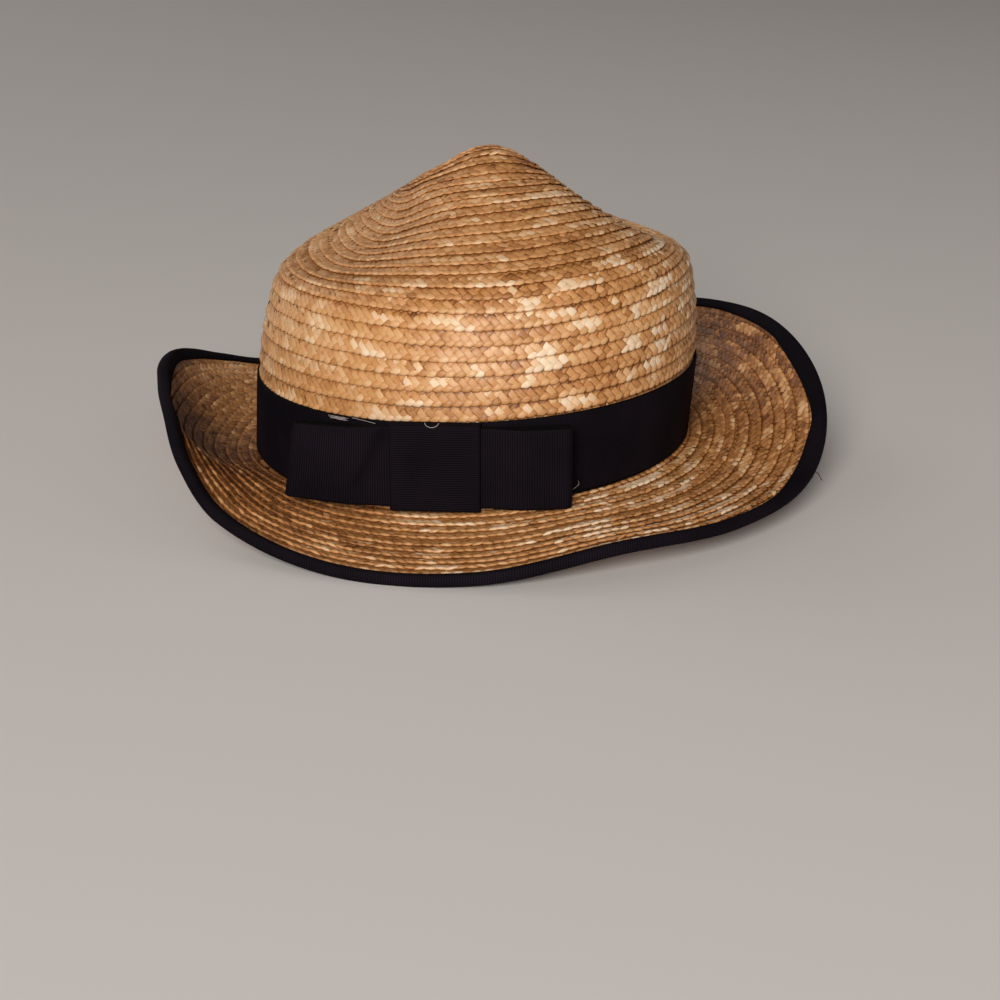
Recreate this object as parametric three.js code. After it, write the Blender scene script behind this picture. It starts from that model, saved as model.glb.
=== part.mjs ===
// Straw fedora: a sewn-braid crown with two pinches and a curled brim, trimmed with
// ribbed black ribbon as a band, a flat bow and a binding folded over the brim's edge.
// Millimetres, +Z up. The front of the hat faces -Y and the hat stands on its brim.
import * as THREE from 'three';

// Crown, measured on the outside of the straw
const CROWN_HALF_WIDTH = 84;
const CROWN_HALF_LENGTH = 93.6;
const CROWN_HEIGHT = 116;
const PEAK_OFFSET = { x: 3.5, y: -12 };
const STRAW = 2;

// The foot of the crown, where the brim begins: its height and how it slopes along X and Y
const FOOT_HEIGHT = 10.6;
const FOOT_SLOPE = { x: 0.055, y: -0.025 };

// Brim and ribbon
const BRIM_WIDTH = 55;
const RIBBON = 1;
const BAND_LOW = 0.5;
const BAND_HIGH = 31.8;
const BINDING_WIDTH = 9;
const BINDING_ROUND = 0.7;

// Bow, on the band at the hat's front left: it is turned a little toward the front and so
// touches the band at one side of its knot
const BOW_AZIMUTH = -30.8;
const BOW_YAW = 9;
const BOW_TILT = -0.9;
const BOW_STANDOFF = 1.1;
const BOW_RIBBON_HEIGHT = 30.8;
const BOW_LOW = 1.4;
const KNOT_WIDTH = 32.6;
const KNOT_HOLE_CORNER = 0.08;
const LOOP_THICKNESS = 2.4;
const LOOP_BULGE = 1.4;
const LOOP_STRAIGHT = KNOT_WIDTH / 2 + 1;
const LOOP_STOPS = [6, 14, 24];
// Share of a loop's length at which its bulge is full
const LOOP_FULL = 0.75;
// Out of the knot's grip a loop drops a little, over a short way
const LOOP_SAG = 0.9;
const LOOP_SAG_REACH = 14;

const GAP = 0.3;
const STEPS_AROUND = 60;
const CROWN_RINGS = 18;
const BRIM_RINGS = 6;

// Outline of the crown from foot (along 0) to peak (along 1), as shares of its radius and height
const CROWN_PROFILE = [
  { along: 0.00, radius: 1.00, height: 0.000 },
  { along: 0.16, radius: 1.00, height: 0.345 },
  { along: 0.34, radius: 0.96, height: 0.540 },
  { along: 0.46, radius: 0.92, height: 0.630 },
  { along: 0.56, radius: 0.82, height: 0.712 },
  { along: 0.68, radius: 0.47, height: 0.858 },
  { along: 0.84, radius: 0.24, height: 0.925 },
  { along: 0.94, radius: 0.09, height: 0.984 },
  { along: 1.00, radius: 0.00, height: 1.000 },
];

// Pinches in the roof: where each is deepest, how far it spreads, and its depth
const PINCHES = [
  { azimuth: -94, along: 0.634, spread: 44, reach: 0.114, depth: 11.2 },
  { azimuth: 87, along: 0.638, spread: 35, reach: 0.129, depth: 13.9 },
];
const PINCH_INWARD = 0.6;
const PINCH_DOWN = 0.8;

// Height of the brim's edge round the hat, and how far its slope turns up from crown to edge
const BRIM_STATIONS = [
  { azimuth: -180, edge: 3.9, curl: 20 },
  { azimuth: -160, edge: 9.1, curl: 22 },
  { azimuth: -150, edge: 16.5, curl: 28 },
  { azimuth: -140, edge: 24.7, curl: 46 },
  { azimuth: -130, edge: 30.7, curl: 72 },
  { azimuth: -120, edge: 32.5, curl: 98 },
  { azimuth: -110, edge: 34.8, curl: 109 },
  { azimuth: -100, edge: 36.8, curl: 106 },
  { azimuth: -90, edge: 37.8, curl: 88 },
  { azimuth: -80, edge: 35.9, curl: 62 },
  { azimuth: -70, edge: 25.9, curl: 44 },
  { azimuth: -60, edge: 13.9, curl: 32 },
  { azimuth: -40, edge: 3.8, curl: 20 },
  { azimuth: -20, edge: 4.2, curl: 19 },
  { azimuth: 0, edge: 12.5, curl: 19 },
  { azimuth: 20, edge: 12.2, curl: 20 },
  { azimuth: 40, edge: 16.0, curl: 24 },
  { azimuth: 60, edge: 33.0, curl: 22 },
  { azimuth: 80, edge: 46.5, curl: 29 },
  { azimuth: 100, edge: 46.2, curl: 36 },
  { azimuth: 120, edge: 36.5, curl: 32 },
  { azimuth: 140, edge: 6.5, curl: 22 },
  { azimuth: 160, edge: 3.3, curl: 20 },
];

// How far the binding reaches over the brim's upper face: the fold is sewn unevenly
const BINDING_REACH = [
  { azimuth: -180, reach: 6.0 },
  { azimuth: -155, reach: 4.7 },
  { azimuth: -135, reach: 4.7 },
  { azimuth: -126, reach: 4.4 },
  { azimuth: -118, reach: 6.3 },
  { azimuth: -111, reach: 9.0 },
  { azimuth: -98, reach: 9.0 },
  { azimuth: -90, reach: 8.6 },
  { azimuth: -84, reach: 5.6 },
  { azimuth: -76, reach: 3.9 },
  { azimuth: -62, reach: 2.8 },
  { azimuth: -53, reach: 1.7 },
  { azimuth: -43, reach: 1.2 },
  { azimuth: -28, reach: 1.5 },
  { azimuth: -8, reach: 1.9 },
  { azimuth: 8, reach: 1.2 },
  { azimuth: 25, reach: 1.2 },
  { azimuth: 32, reach: 2.6 },
  { azimuth: 39, reach: 4.9 },
  { azimuth: 48, reach: 5.3 },
  { azimuth: 54, reach: 4.0 },
  { azimuth: 62, reach: 5.3 },
  { azimuth: 71, reach: 5.9 },
  { azimuth: 80, reach: 4.5 },
  { azimuth: 92, reach: 4.1 },
  { azimuth: 105, reach: 3.0 },
  { azimuth: 130, reach: 4.0 },
  { azimuth: 155, reach: 6.0 },
];

// The two loops of the bow: which way each runs, its length, how far it bends back toward
// the hat, how steeply it droops and narrows past the knot, and how aslant its fold lies
const BOW_LOOPS = [
  { name: 'bow_loop_left', side: -1, length: 54.7, bend: 13.5, droop: 0.006, taper: 0.002, slant: 0.0036 },
  { name: 'bow_loop_right', side: 1, length: 48.8, bend: 4, droop: -0.045, taper: 0, slant: 0 },
];

const COLOURS = { crown: 0xc8965a, brim: 0xb9854d, ribbon: 0x17161b };
const ROUGHNESS = { straw: 0.6, ribbon: 0.85 };

const radians = THREE.MathUtils.degToRad;

// Smooth curve through the rows of a table, by the slope between each row's neighbours
function between(rows, key, column, at, period = 0) {
  const count = rows.length;
  const row = (i) => {
    const turn = period ? Math.floor(i / count) : 0;
    const index = period ? i - turn * count : Math.min(Math.max(i, 0), count - 1);
    return { x: rows[index][key] + turn * period, y: rows[index][column] };
  };
  let i = 0;
  while (i < count - (period ? 1 : 2) && row(i + 1).x <= at) {
    i += 1;
  }
  const [before, from, to, after] = [row(i - 1), row(i), row(i + 1), row(i + 2)];
  const span = to.x - from.x;
  const t = (at - from.x) / span;
  const slopeFrom = ((to.y - before.y) / (to.x - before.x)) * span;
  const slopeTo = ((after.y - from.y) / (after.x - from.x)) * span;
  const rise = to.y - from.y;
  const cubic = slopeFrom + slopeTo - 2 * rise;
  return from.y + t * (slopeFrom + t * (rise - slopeFrom - cubic + t * cubic));
}

// Shortest turn from one azimuth to another, degrees
function turn(from, to) {
  return THREE.MathUtils.euclideanModulo(to - from + 180, 360) - 180;
}

function azimuths() {
  return Array.from({ length: STEPS_AROUND }, (_, i) => -180 + (i * 360) / STEPS_AROUND);
}

// Azimuth 0 is the front, -Y, and grows toward +X
function footPoint(azimuth) {
  const x = CROWN_HALF_WIDTH * Math.sin(radians(azimuth));
  const y = -CROWN_HALF_LENGTH * Math.cos(radians(azimuth));
  return new THREE.Vector3(x, y, FOOT_HEIGHT + FOOT_SLOPE.x * x + FOOT_SLOPE.y * y);
}

function footNormal(azimuth) {
  const x = Math.sin(radians(azimuth)) / CROWN_HALF_WIDTH;
  const y = -Math.cos(radians(azimuth)) / CROWN_HALF_LENGTH;
  return new THREE.Vector3(x, y, 0).normalize();
}

// Point on the outside of the crown
function crownPoint(azimuth, along) {
  const radius = between(CROWN_PROFILE, 'along', 'radius', along);
  const height = between(CROWN_PROFILE, 'along', 'height', along);
  const foot = footPoint(azimuth);
  const point = new THREE.Vector3(
    radius * foot.x + height * PEAK_OFFSET.x,
    radius * foot.y + height * PEAK_OFFSET.y,
    FOOT_HEIGHT + radius * (foot.z - FOOT_HEIGHT) + height * CROWN_HEIGHT,
  );
  const outward = new THREE.Vector3(Math.sin(radians(azimuth)), -Math.cos(radians(azimuth)), 0);
  for (const pinch of PINCHES) {
    const aside = turn(pinch.azimuth, azimuth) / pinch.spread;
    const above = (along - pinch.along) / pinch.reach;
    const depth = pinch.depth * Math.exp(-aside * aside - above * above);
    point.addScaledVector(outward, -PINCH_INWARD * depth);
    point.z -= PINCH_DOWN * depth;
  }
  return point;
}

// Point at a distance outside the crown's surface, or inside it where the distance is negative
function crownOffset(azimuth, along, distance) {
  const step = 0.01;
  const low = Math.max(along - step, 0);
  const high = Math.min(along + step, 1 - step);
  const near = Math.min(along, high);
  const up = crownPoint(azimuth, high).sub(crownPoint(azimuth, low));
  const round = crownPoint(azimuth + 1, near).sub(crownPoint(azimuth - 1, near));
  const normal = round.cross(up).normalize();
  return crownPoint(azimuth, along).addScaledVector(normal, distance);
}

// Share of the way up the crown at which the wall has a given height above its foot
function alongAtHeight(height) {
  let [low, high] = [0, 0.5];
  for (let i = 0; i < 40; i += 1) {
    const middle = (low + high) / 2;
    if (between(CROWN_PROFILE, 'along', 'height', middle) * CROWN_HEIGHT < height) {
      low = middle;
    } else {
      high = middle;
    }
  }
  return low;
}

// Point of the brim's section: out is the way along its upper face from the crown's foot,
// below the distance under that face
function brimPoint(azimuth, out, below) {
  const foot = footPoint(azimuth);
  const edge = between(BRIM_STATIONS, 'azimuth', 'edge', azimuth, 360);
  const curl = radians(between(BRIM_STATIONS, 'azimuth', 'curl', azimuth, 360));
  const spread = Math.sin(curl / 2) / (curl / 2);
  const start = foot.z - GAP;
  const root = Math.asin((edge - start) / (BRIM_WIDTH * spread)) - curl / 2;
  const reach = Math.max(out, 0);
  const slope = root + (curl * reach) / BRIM_WIDTH;
  const middle = (root + slope) / 2;
  const chord = reach > 0 ? (reach * Math.sin(slope - middle)) / (slope - middle) : 0;
  const level = out < 0;
  const across = level ? out : chord * Math.cos(middle) + below * Math.sin(slope);
  const lift = level ? -below : chord * Math.sin(middle) - below * Math.cos(slope);
  const point = foot.clone().addScaledVector(footNormal(azimuth), across);
  point.z = start + lift;
  return point;
}

// Closed skin over rings of points: each ring joins the next, a ring of one point is a tip.
// A four-sided face folds along its higher diagonal, so that layers over one another fold alike.
function skin(rings, closed) {
  const starts = [];
  const positions = [];
  for (const ring of rings) {
    starts.push(positions.length / 3);
    for (const point of ring) {
      positions.push(point.x, point.y, point.z);
    }
  }
  const height = (index) => positions[3 * index + 2];
  const indices = [];
  for (let k = 0; k < rings.length - (closed ? 0 : 1); k += 1) {
    const next = (k + 1) % rings.length;
    const count = Math.max(rings[k].length, rings[next].length);
    for (let i = 0; i < count; i += 1) {
      const j = (i + 1) % count;
      if (rings[k].length === 1) {
        indices.push(starts[k], starts[next] + i, starts[next] + j);
      } else if (rings[next].length === 1) {
        indices.push(starts[k] + i, starts[next], starts[k] + j);
      } else {
        const [a, b, c, d] = [starts[k] + i, starts[next] + i, starts[next] + j, starts[k] + j];
        const higher = height(a) + height(c) > height(b) + height(d);
        indices.push(...(higher ? [a, b, c, a, c, d] : [a, b, d, b, c, d]));
      }
    }
  }
  const geometry = new THREE.BufferGeometry();
  geometry.setAttribute('position', new THREE.Float32BufferAttribute(positions, 3));
  geometry.setIndex(indices);
  geometry.computeVertexNormals();
  return geometry;
}

function ring(pointAt) {
  return azimuths().map(pointAt);
}

function makeCrown() {
  const levels = Array.from({ length: CROWN_RINGS }, (_, i) => i / CROWN_RINGS);
  const outside = levels.map((along) => ring((azimuth) => crownPoint(azimuth, along)));
  const inside = levels.map((along) => ring((azimuth) => crownOffset(azimuth, along, -STRAW)));
  inside[0].forEach((point, i) => {
    point.z = outside[0][i].z;
  });
  const tip = crownPoint(0, 1);
  const underTip = tip.clone();
  underTip.z -= STRAW;
  return skin([[tip], ...outside.reverse(), ...inside, [underTip]], false);
}

// Ways out along a face of the brim, to fit a binding that reaches so far over it
function brimSteps(reach) {
  const bare = BRIM_WIDTH - reach;
  const steps = Array.from({ length: BRIM_RINGS + 1 }, (_, i) => (i * bare) / BRIM_RINGS);
  return [-STRAW, ...steps, BRIM_WIDTH - reach / 2, BRIM_WIDTH];
}

function bindingReach(azimuth) {
  return between(BINDING_REACH, 'azimuth', 'reach', azimuth, 360);
}

function makeBrim() {
  const face = (below, reachAt) => brimSteps(0).map((_, k) => {
    return ring((azimuth) => brimPoint(azimuth, brimSteps(reachAt(azimuth))[k], below));
  });
  const upper = face(0, bindingReach);
  const lower = face(STRAW, () => BINDING_WIDTH);
  return skin([...upper, ...lower.reverse()], true);
}

function makeBand() {
  const levels = [BAND_LOW, (BAND_LOW + BAND_HIGH) / 2, BAND_HIGH].map(alongAtHeight);
  const inside = levels.map((along) => ring((azimuth) => crownOffset(azimuth, along, GAP)));
  const outside = levels.map((along) => ring((azimuth) => crownOffset(azimuth, along, GAP + RIBBON)));
  return skin([...outside.reverse(), ...inside], true);
}

// Section of the binding as (out, below) pairs, from its upper inner corner round the edge
function bindingSection(reach) {
  const [upper, upperMiddle] = [BRIM_WIDTH - reach, BRIM_WIDTH - reach / 2];
  const [lower, lowerMiddle] = [BRIM_WIDTH - BINDING_WIDTH, BRIM_WIDTH - BINDING_WIDTH / 2];
  const top = -GAP;
  const bottom = STRAW + GAP;
  const end = BRIM_WIDTH + GAP;
  const round = BINDING_ROUND;
  return [
    [upper, top - RIBBON], [upperMiddle, top - RIBBON], [end, top - RIBBON],
    [end + round, top - RIBBON + round / 2],
    [end + RIBBON, STRAW / 2],
    [end + round, bottom + RIBBON - round / 2],
    [end, bottom + RIBBON], [lowerMiddle, bottom + RIBBON], [lower, bottom + RIBBON],
    [lower, bottom], [lowerMiddle, bottom], [end, bottom], [end, top], [upperMiddle, top], [upper, top],
  ];
}

// The folded ribbon lies flat where it meets the surface the hat stands on
function makeBinding() {
  const rings = bindingSection(BINDING_WIDTH).map((_, k) => {
    return ring((azimuth) => brimPoint(azimuth, ...bindingSection(bindingReach(azimuth))[k]));
  });
  for (const point of rings.flat()) {
    point.z = Math.max(point.z, 0);
  }
  return skin(rings, true);
}

// Plan of one loop: ribbon out from the knot, round a soft fold and back, open at the knot
function loopShape({ side, length, bend }) {
  const straight = LOOP_STRAIGHT;
  const tilt = radians(bend);
  const centre = (s) => {
    const past = Math.max(s - straight, 0);
    return [side * (Math.min(s, straight) + past * Math.cos(tilt)), past * Math.sin(tilt)];
  };
  const place = (s, aside) => {
    const angle = s > straight ? tilt : 0;
    const [x, y] = centre(s);
    return new THREE.Vector2(x - side * aside * Math.sin(angle), y + aside * Math.cos(angle));
  };
  const bulge = (s) => {
    const share = THREE.MathUtils.smoothstep(s, straight, length * LOOP_FULL);
    return LOOP_THICKNESS / 2 + LOOP_BULGE * share;
  };
  const fold = length - bulge(length);
  const stops = [GAP, straight, ...LOOP_STOPS.map((way) => straight + way), fold];
  const front = stops.map((s) => place(s, -bulge(s)));
  const back = stops.map((s) => place(s, bulge(s))).reverse();
  const round = [-45, 0, 45].map((angle) => {
    const size = bulge(length);
    return place(fold + size * Math.cos(radians(angle)), size * Math.sin(radians(angle)));
  });
  const slotFront = stops.map((s) => place(s, RIBBON - bulge(s))).reverse();
  const slotBack = stops.map((s) => place(s, bulge(s) - RIBBON));
  const slotEnd = place(fold + bulge(length) - RIBBON, 0);
  return new THREE.Shape([...front, ...round, ...back, ...slotBack, slotEnd, ...slotFront]);
}

function makeLoop(loop) {
  const extrusion = { depth: BOW_RIBBON_HEIGHT, bevelEnabled: false };
  const geometry = new THREE.ExtrudeGeometry(loopShape(loop), extrusion);
  geometry.translate(0, -GAP - RIBBON - GAP - LOOP_THICKNESS / 2, -BOW_RIBBON_HEIGHT / 2);
  const points = geometry.attributes.position;
  for (let i = 0; i < points.count; i += 1) {
    const [x, z] = [points.getX(i), points.getZ(i)];
    const past = Math.max(Math.abs(x) - LOOP_STRAIGHT, 0);
    const sag = LOOP_SAG * THREE.MathUtils.smoothstep(past, 0, LOOP_SAG_REACH);
    points.setX(i, x - loop.side * loop.slant * z * past);
    points.setZ(i, z * (1 - loop.taper * past) - loop.droop * past - sag);
  }
  return geometry;
}

// Rectangle with cut corners, about the origin
function plate(width, height, corner) {
  const [x, y] = [width / 2, height / 2];
  return [
    [corner - x, -y], [x - corner, -y], [x, corner - y], [x, y - corner],
    [x - corner, y], [corner - x, y], [-x, y - corner], [-x, corner - y],
  ].map(([u, v]) => new THREE.Vector2(u, v));
}

// The ribbon turned once round both loops
function makeKnot() {
  const deep = LOOP_THICKNESS + 2 * GAP;
  const high = BOW_RIBBON_HEIGHT + 2 * GAP;
  const shape = new THREE.Shape(plate(deep + 2 * RIBBON, high + 2 * RIBBON, RIBBON));
  shape.holes.push(new THREE.Path(plate(deep, high, KNOT_HOLE_CORNER)));
  const geometry = new THREE.ExtrudeGeometry(shape, { depth: KNOT_WIDTH, bevelEnabled: false });
  const [x, y, z] = [new THREE.Vector3(1, 0, 0), new THREE.Vector3(0, 1, 0), new THREE.Vector3(0, 0, 1)];
  geometry.translate(0, 0, -KNOT_WIDTH / 2);
  geometry.applyMatrix4(new THREE.Matrix4().makeBasis(y, z, x));
  return geometry.translate(0, -GAP - RIBBON - deep / 2, 0);
}

function material(colour, roughness) {
  return new THREE.MeshStandardMaterial({ color: colour, roughness, metalness: 0 });
}

function mesh(name, geometry, colour, roughness) {
  const made = new THREE.Mesh(geometry, material(colour, roughness));
  made.name = name;
  return made;
}

// The bow stands against the band: X along the ribbon, -Y away from the hat, Z up the wall
function makeBow() {
  const onBand = (azimuth, height) => crownOffset(azimuth, alongAtHeight(height), GAP + RIBBON);
  const middle = BOW_LOW + BOW_RIBBON_HEIGHT / 2;
  const outward = footNormal(BOW_AZIMUTH);
  const level = new THREE.Vector3(-outward.y, outward.x, 0);
  const wall = onBand(BOW_AZIMUTH, BAND_HIGH).sub(onBand(BOW_AZIMUTH, BAND_LOW));
  const up = wall.addScaledVector(level, -wall.dot(level)).normalize();
  const inward = up.clone().cross(level);
  const bow = new THREE.Group();
  bow.position.copy(onBand(BOW_AZIMUTH, middle)).addScaledVector(outward, BOW_STANDOFF);
  bow.quaternion.setFromRotationMatrix(new THREE.Matrix4().makeBasis(level, inward, up));
  bow.rotateZ(radians(BOW_YAW));
  bow.rotateY(-radians(BOW_TILT));
  for (const loop of BOW_LOOPS) {
    bow.add(mesh(loop.name, makeLoop(loop), COLOURS.ribbon, ROUGHNESS.ribbon));
  }
  bow.add(mesh('bow_knot', makeKnot(), COLOURS.ribbon, ROUGHNESS.ribbon));
  return bow;
}

const hat = new THREE.Group();
hat.add(mesh('crown', makeCrown(), COLOURS.crown, ROUGHNESS.straw));
hat.add(mesh('brim', makeBrim(), COLOURS.brim, ROUGHNESS.straw));
hat.add(mesh('hat_band', makeBand(), COLOURS.ribbon, ROUGHNESS.ribbon));
hat.add(mesh('brim_binding', makeBinding(), COLOURS.ribbon, ROUGHNESS.ribbon));
hat.add(makeBow());

// The origin is under the middle of the hat's outline
hat.updateMatrixWorld(true);
const centre = new THREE.Box3().setFromObject(hat).getCenter(new THREE.Vector3());
hat.position.set(-centre.x, -centre.y, 0);
hat.updateMatrixWorld(true);

export default hat;
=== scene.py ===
import math

import bpy
import numpy as np
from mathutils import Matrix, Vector


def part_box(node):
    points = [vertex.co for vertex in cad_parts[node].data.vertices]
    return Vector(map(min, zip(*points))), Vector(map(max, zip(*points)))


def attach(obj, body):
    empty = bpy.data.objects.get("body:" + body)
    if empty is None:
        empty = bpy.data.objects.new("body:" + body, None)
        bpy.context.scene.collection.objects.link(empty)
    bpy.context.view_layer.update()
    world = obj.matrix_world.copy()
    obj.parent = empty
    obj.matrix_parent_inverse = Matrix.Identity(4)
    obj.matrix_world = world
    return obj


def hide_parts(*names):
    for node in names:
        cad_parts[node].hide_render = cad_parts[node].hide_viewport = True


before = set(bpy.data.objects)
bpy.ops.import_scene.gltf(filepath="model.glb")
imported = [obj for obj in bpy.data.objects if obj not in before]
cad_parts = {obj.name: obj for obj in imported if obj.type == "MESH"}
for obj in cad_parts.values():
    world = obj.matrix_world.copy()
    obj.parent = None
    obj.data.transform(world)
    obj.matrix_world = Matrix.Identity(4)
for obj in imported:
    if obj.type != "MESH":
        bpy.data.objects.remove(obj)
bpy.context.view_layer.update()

MM = 0.001
rng = np.random.default_rng(20)

# The hat's own dimensions in millimetres, the same as the solids' source
CROWN_HALF = (84.0, 93.6)
CROWN_HEIGHT = 116.0
PEAK_OFFSET = (3.5, -12.0)
STRAW = 2.0
FOOT_HEIGHT = 10.6
FOOT_SLOPE = (0.055, -0.025)
BRIM_WIDTH = 55.0
RIBBON = 1.0
BAND_LOW, BAND_HIGH = 0.5, 31.8
BINDING_WIDTH = 9.0
BINDING_LENGTH = 880.0
BOW_AZIMUTH, BOW_YAW, BOW_TILT = -30.8, 9.0, -0.9
BOW_STANDOFF = 1.1
BOW_RIBBON_HEIGHT = 30.8
BOW_LOW = 1.4
KNOT_WIDTH = 32.6
LOOP_THICKNESS, LOOP_BULGE = 2.4, 1.4
LOOP_STRAIGHT = KNOT_WIDTH / 2 + 1
LOOP_SAG, LOOP_SAG_REACH = 0.9, 14.0
GAP = 0.3

# Crown outline: along, radius, height
CROWN_PROFILE = (
    (0.00, 1.00, 0.000), (0.16, 1.00, 0.345), (0.34, 0.96, 0.540),
    (0.46, 0.92, 0.630), (0.56, 0.82, 0.712), (0.68, 0.47, 0.858),
    (0.84, 0.24, 0.925), (0.94, 0.09, 0.984), (1.00, 0.00, 1.000),
)
# Roof pinches: azimuth, along, spread, reach, depth
PINCHES = ((-94, 0.634, 44, 0.114, 11.2), (87, 0.638, 35, 0.129, 13.9))
PINCH_INWARD, PINCH_DOWN = 0.6, 0.8
# Brim: azimuth, height of the edge, curl
BRIM_STATIONS = (
    (-180, 3.9, 20), (-160, 9.1, 22), (-150, 16.5, 28), (-140, 24.7, 46),
    (-130, 30.7, 72), (-120, 32.5, 98), (-110, 34.8, 109), (-100, 36.8, 106),
    (-90, 37.8, 88), (-80, 35.9, 62), (-70, 25.9, 44), (-60, 13.9, 32),
    (-40, 3.8, 20), (-20, 4.2, 19), (0, 12.5, 19), (20, 12.2, 20),
    (40, 16.0, 24), (60, 33.0, 22), (80, 46.5, 29), (100, 46.2, 36),
    (120, 36.5, 32), (140, 6.5, 22), (160, 3.3, 20),
)
# Binding over the upper face: azimuth, reach
BINDING_REACH = (
    (-180, 6.0), (-155, 4.7), (-135, 4.7), (-126, 4.4), (-118, 6.3), (-111, 9.0),
    (-98, 9.0), (-90, 8.6), (-84, 5.6), (-76, 3.9), (-62, 2.8), (-53, 1.7),
    (-43, 1.2), (-28, 1.5), (-8, 1.9), (8, 1.2), (25, 1.2), (32, 2.6),
    (39, 4.9), (48, 5.3), (54, 4.0), (62, 5.3), (71, 5.9), (80, 4.5),
    (92, 4.1), (105, 3.0), (130, 4.0), (155, 6.0),
)
# Bow loops: name, side, length, bend, droop, taper, slant, depth of the crease
BOW_LOOPS = (
    ("bow_loop_left", -1, 54.7, 13.5, 0.006, 0.002, 0.0036, 0.85),
    ("bow_loop_right", 1, 48.8, 4.0, -0.045, 0.0, 0.0, 0.0),
)
# A tuft of lint on the band: azimuth, height above the foot, distance from the straw
LINT_COUNT = 12
LINT_MIDDLE, LINT_SIZE = np.array((-56.8, 30.9, 1.7)), np.array((3.4, 0.7, 0.25))
# Pale threads on the band, in the same measures
BAND_THREADS = (
    ((-53.0, 31.8, 1.5), (-50.2, 31.5, 1.6), (-47.8, 31.0, 1.5), (-46.6, 30.7, 1.4)),
    ((3.0, 2.0, 1.6), (3.9, 2.8, 1.7), (4.6, 3.7, 1.7), (4.3, 4.9, 1.5)),
)
# A pale thread over the knot's upper edge, and frayed black ones from the binding's edge
KNOT_THREAD = (
    (-3.4, -4.6, 17.5), (-2.7, -5.6, 16.6), (-0.8, -5.7, 16.0), (1.0, -5.6, 16.6), (1.7, -4.6, 17.5),
)
BINDING_THREADS = (
    (42.0, (
        (-0.75, 0.3, 0), (0.7, -0.25, -0.35), (1.85, -0.7, -1.4), (2.55, -1.0, -3.2), (3.0, -1.15, -3.6),
    )),
    (40.3, ((-0.6, 0.25, 0), (0.3, -0.1, -0.1), (0.9, -0.35, -0.2))),
)
# Where the frayed threads start, past the binding's edge, and their shade
FRAY_START, FRAY_SHADE = 0.6, 0.3
LINT_RADIUS, BAND_THREAD_RADIUS, KNOT_THREAD_RADIUS, FRAY_RADIUS = 0.05, 0.09, 0.11, 0.14
# A soft crease across a loop's face: way out and height at its ends, width, and painted shade on the ribs
# in it
CREASE = ((18.5, 13.0), (28.5, -9.0), 2.2)
CREASE_PAINTED_SHADE = 0.45
# The ways over which it fades, from its upper and from its lower end
CREASE_FADE_TOP, CREASE_FADE_LOW = (-4.0, 2.0), (-2.0, 5.0)

# Crown braid: rows from the foot to the spiral's tip behind the peak, their width, start of the spiral
CROWN_ROWS = 37.4
CROWN_PITCH = 5.45
CROWN_PHASE = 330.0
# At the front the first rows keep that width, and the others share what is left
EVEN_ROWS, LATE_POWER = 12.0, 1.5
# Above the band the rows grow wider away from the front: first row, number of rows, growth
LEAN_FROM, LEAN_ROWS, LEAN = 5.8, 11.0, 0.17
# Azimuths between which they do so, at either side
LEAN_LEFT, LEAN_RIGHT = (-12.0, -90.0), (-22.0, 60.0)
# The tip is a short line on the roof: azimuth and way from the peak, azimuth and half length of the line
TIP = (165.0, 0.26)
TIP_LINE = (-108.0, 0.08)
# Samples of the crown's meridians: azimuths, ways to the tip, rows; and of its profile
MERIDIAN_COUNT, WAY_COUNT, ROW_COUNT = 181, 601, 401
PROFILE_COUNT = 401
# Brim braid: rows from its edge to the crown
BRIM_ROWS = 11.6
# A row's stitches: their length, the row's width with its tucked part, heights at its lip and tuck
BRAID_PITCH = 3.5
ROW_WIDTH = 5.2
LIP_HEIGHT, TUCK_HEIGHT = 0.15, -0.75
# A strand turning at a row's lip: half length in stitches, taper, slant, arch, and painted shade at its
# ends
LIP_HALF = 0.64
LIP_TAPER, LIP_TAPER_POWER = 0.7, 1.9
LIP_SLANT, LIP_FALL, LIP_ARCH = 0.3, 0.1, 0.16
LIP_END_PAINTED_SHADE = 0.3
# A strand passing over another: half width, arch and its reach, camber, painted light on its face, and
# painted shade at its ends and sides
FLOAT_WIDTH = 1.06
FLOAT_ARCH, FLOAT_ARCH_REACH, FLOAT_CAMBER = 0.45, 0.9, 0.14
FLOAT_PAINTED_LIGHT, FLOAT_END_PAINTED_SHADE, FLOAT_SIDE_PAINTED_SHADE = 0.04, 0.26, 0.2
# Such strands in a stitch: lean, middle across the row, reach, place, steps if fine, steps if plain
FLOATS = (
    (-1, 0.58, 2.1, 0.5, (6, 4), (4, 3)),
    (1, 0.86, 1.4, 0.0, (4, 3), (3, 2)),
)
# Painted shade where a row is tucked under the next: by how much, and between which parts of its width
TUCK_PAINTED_SHADE, TUCK_FROM, TUCK_TO = 0.18, 0.75, 1.05
# How sharply the painted shade darkens and grid steps close up toward a strand's edges
EDGE_POWER, CRISP_POWER = 6, 0.4
# Rows of the crown that the band leaves bare, and those of its roof, where the braid lies flatter and its
# painted shade and pale strands are weaker
BARE_ROW, ROOF_ROW = 4.5, 16.0
ROOF_SHADE_AND_PALE_CUT, CALM_RELIEF, CALM_ROWS = 0.45, 0.2, 3
# A row past all of the brim's, so that the brim never lies flatter nor has weaker painted shade
NEVER_CALM = 2 * BRIM_ROWS
# Toward the tip the straw is darkened, painted shade: by how much, and between which multiples of the
# calm row
TIP_PAINTED_SHADE, LATE_FROM, LATE_TO = 0.14, 1.4, 2.0
# Tone of the crown by azimuth: level; then painted light and shade: a wave twice round and its phase,
# lighter at both sides and on the wearer's left
CROWN_TONE, CROWN_LIGHT_WAVE, CROWN_WAVE_PHASE = 0.39, 0.025, 0.2
CROWN_SIDES_PAINTED_LIGHT, CROWN_LEFT_PAINTED_LIGHT = 0.045, 0.05
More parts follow.
